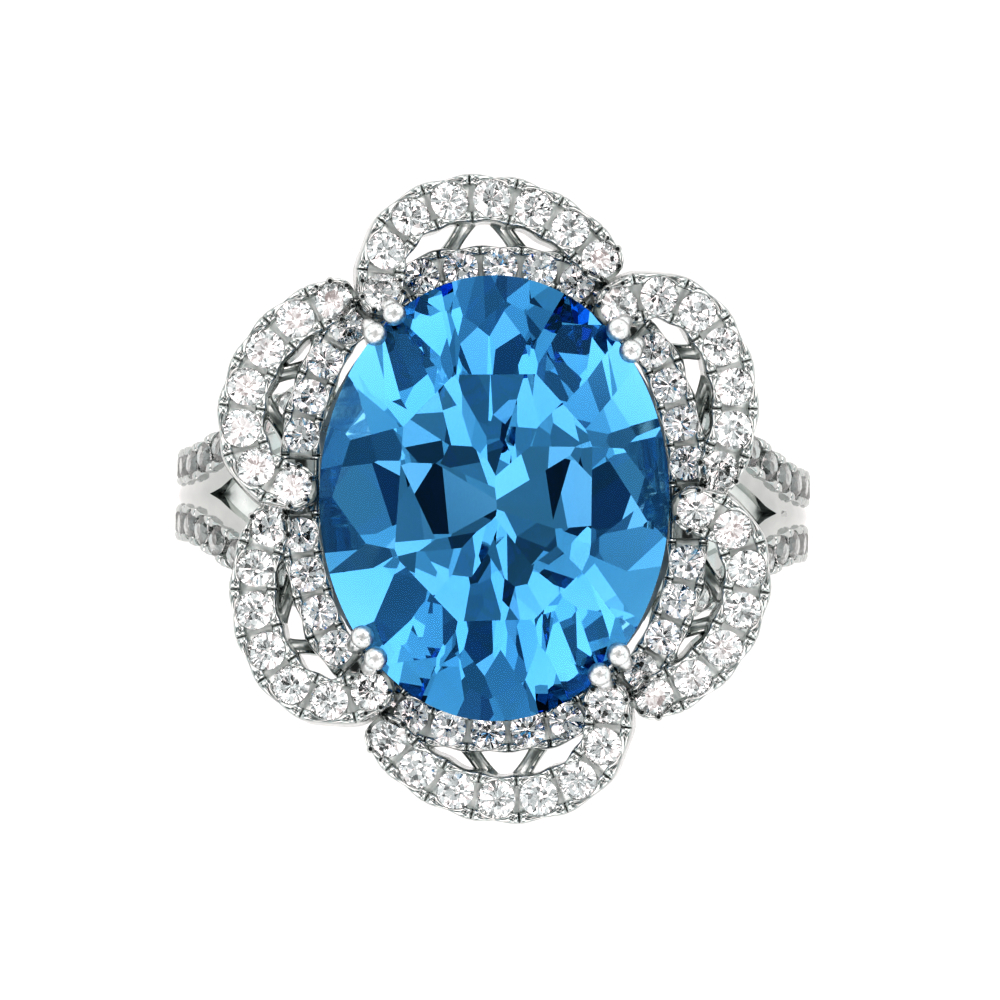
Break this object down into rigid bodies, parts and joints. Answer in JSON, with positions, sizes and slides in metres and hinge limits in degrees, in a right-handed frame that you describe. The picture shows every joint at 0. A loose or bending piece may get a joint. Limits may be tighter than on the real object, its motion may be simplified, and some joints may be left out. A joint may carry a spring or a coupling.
{
  "type": "cocktail ring",
  "caption": "Finger ring with a large faceted oval blue stone in paired claws, a halo and six overlapping stone-set petals, on a hoop with split shoulders.",
  "frame": {"origin": "centre of the finger bore, half way across the hoop", "axes": "+Y along the finger bore, +Z towards the head, with the centre stone's length nearly along Y"},
  "size_m": [0.0206, 0.0204, 0.0259],
  "materials": {
    "white_metal": "polished",
    "blue_stone": "polished",
    "clear_stone": "polished"
  },
  "bodies": {
    "root": {"base_rail": "white_metal", "centre_stone": "blue_stone", "claws_lower_left": "white_metal", "claws_lower_right": "white_metal", "claws_upper_left": "white_metal", "claws_upper_right": "white_metal", "finger_hoop": "white_metal", "gallery_rail": "white_metal", "halo_rail": "white_metal", "halo_stones_bottom": "clear_stone", "halo_stones_lower_left": "clear_stone", "halo_stones_lower_right": "clear_stone", "halo_stones_top": "clear_stone", "halo_stones_upper_left": "clear_stone", "halo_stones_upper_right": "clear_stone", "hoop_stones_left_lower": "clear_stone", "hoop_stones_left_upper": "clear_stone", "hoop_stones_right_lower": "clear_stone", "hoop_stones_right_upper": "clear_stone", "petal_bottom": "white_metal", "petal_lower_left": "white_metal", "petal_lower_right": "white_metal", "petal_stones_bottom": "clear_stone", "petal_stones_lower_left": "clear_stone", "petal_stones_lower_right": "clear_stone", "petal_stones_top": "clear_stone", "petal_stones_upper_left": "clear_stone", "petal_stones_upper_right": "clear_stone", "petal_struts_bottom": "white_metal", "petal_struts_lower_left": "white_metal", "petal_struts_lower_right": "white_metal", "petal_struts_top": "white_metal", "petal_struts_upper_left": "white_metal", "petal_struts_upper_right": "white_metal", "petal_top": "white_metal", "petal_upper_left": "white_metal", "petal_upper_right": "white_metal", "seat_rail": "white_metal"}
  },
  "joints": []
}
